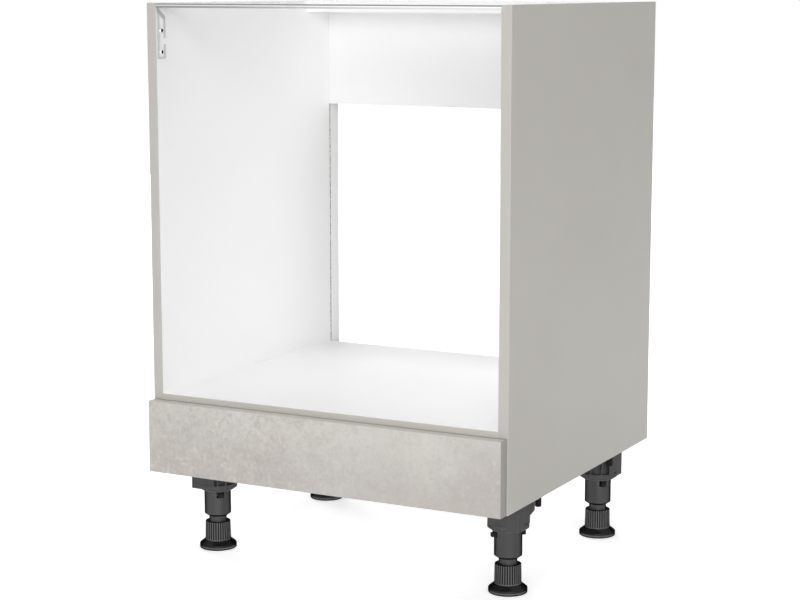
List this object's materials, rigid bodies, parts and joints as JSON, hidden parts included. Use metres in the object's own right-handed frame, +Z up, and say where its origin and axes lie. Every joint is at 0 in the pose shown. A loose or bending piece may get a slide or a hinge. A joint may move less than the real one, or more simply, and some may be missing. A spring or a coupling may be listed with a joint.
{
  "type": "oven base cabinet",
  "caption": "Base cabinet for a built-in oven: coated board carcass with an open niche, oven shelf, steel front rail, fixed front panel below the niche, and levelling legs.",
  "frame": {"origin": "on the floor, under the middle of the cabinet's width and of its depth, front panel included", "axes": "+X to the right, +Y from the front to the back, +Z up"},
  "size_m": [0.6, 0.569, 0.859],
  "materials": {
    "grey_board": "melamine coated, warm grey outside and white inside",
    "white_board": "melamine coated, white",
    "grey_edge": "plastic edge band, satin grey",
    "concrete_front": "melamine coated, light concrete decor",
    "concrete_edge": "plastic edge band, satin grey",
    "zinc_steel": "zinc plated sheet",
    "screw_steel": "zinc plated",
    "beech": "bare beech",
    "black_plastic": "moulded, matt black",
    "black_pad": "moulded, satin black"
  },
  "bodies": {
    "cabinet": {"left_side_panel": "grey_board", "right_side_panel": "grey_board", "oven_shelf": "white_board", "bottom_panel": "white_board", "rear_rail": "white_board", "back_strip": "white_board", "left_side_edge_band": "grey_edge", "right_side_edge_band": "grey_edge", "shelf_edge_band": "grey_edge", "front_panel": "concrete_front", "front_panel_long_bands": "concrete_edge", "front_panel_end_bands": "concrete_edge", "front_rail": "zinc_steel", "left_rail_tab": "zinc_steel", "right_rail_tab": "zinc_steel", "front_panel_brackets": "zinc_steel", "rail_tab_screws": "screw_steel", "front_panel_screws": "screw_steel", "back_strip_screws": "screw_steel", "leg_socket_screws": "screw_steel", "shelf_dowels": "beech", "bottom_dowels": "beech", "rear_rail_dowels": "beech", "front_left_leg_socket": "black_plastic", "front_left_leg_tube": "black_plastic", "front_right_leg_socket": "black_plastic", "front_right_leg_tube": "black_plastic", "rear_left_leg_socket": "black_plastic", "rear_left_leg_tube": "black_plastic", "rear_right_leg_socket": "black_plastic", "rear_right_leg_tube": "black_plastic"},
    "front_left_pad": {"front_left_foot_pad": "black_pad"},
    "front_left_adjuster": {"front_left_leg_adjuster": "black_plastic"},
    "front_right_pad": {"front_right_foot_pad": "black_pad"},
    "front_right_adjuster": {"front_right_leg_adjuster": "black_plastic"},
    "rear_left_pad": {"rear_left_foot_pad": "black_pad"},
    "rear_left_adjuster": {"rear_left_leg_adjuster": "black_plastic"},
    "rear_right_pad": {"rear_right_foot_pad": "black_pad"},
    "rear_right_adjuster": {"rear_right_leg_adjuster": "black_plastic"}
  },
  "joints": [
    {"name": "front_left_foot_lift", "type": "slide", "parent": "cabinet", "child": "front_left_pad", "axis": [0, 0, -1], "range_m": [-0.0075, 0.025]},
    {"name": "front_left_adjuster_turn", "type": "hinge", "parent": "front_left_pad", "child": "front_left_adjuster", "pos_m": [-0.254, -0.1625, 0.03], "axis": [0, 0, -1], "range_deg": [-540, 1800]},
    {"name": "front_right_foot_lift", "type": "slide", "parent": "cabinet", "child": "front_right_pad", "axis": [0, 0, -1], "range_m": [-0.0075, 0.025]},
    {"name": "front_right_adjuster_turn", "type": "hinge", "parent": "front_right_pad", "child": "front_right_adjuster", "pos_m": [0.254, -0.1625, 0.03], "axis": [0, 0, -1], "range_deg": [-540, 1800]},
    {"name": "rear_left_foot_lift", "type": "slide", "parent": "cabinet", "child": "rear_left_pad", "axis": [0, 0, -1], "range_m": [-0.0075, 0.025]},
    {"name": "rear_left_adjuster_turn", "type": "hinge", "parent": "rear_left_pad", "child": "rear_left_adjuster", "pos_m": [-0.254, 0.1855, 0.03], "axis": [0, 0, -1], "range_deg": [-540, 1800]},
    {"name": "rear_right_foot_lift", "type": "slide", "parent": "cabinet", "child": "rear_right_pad", "axis": [0, 0, -1], "range_m": [-0.0075, 0.025]},
    {"name": "rear_right_adjuster_turn", "type": "hinge", "parent": "rear_right_pad", "child": "rear_right_adjuster", "pos_m": [0.254, 0.1855, 0.03], "axis": [0, 0, -1], "range_deg": [-540, 1800]}
  ],
  "couplings": [
    {"joint": "front_left_adjuster_turn", "follows": "front_left_foot_lift", "rad_per_m": 1256.6},
    {"joint": "front_right_adjuster_turn", "follows": "front_right_foot_lift", "rad_per_m": 1256.6},
    {"joint": "rear_left_adjuster_turn", "follows": "rear_left_foot_lift", "rad_per_m": 1256.6},
    {"joint": "rear_right_adjuster_turn", "follows": "rear_right_foot_lift", "rad_per_m": 1256.6}
  ]
}
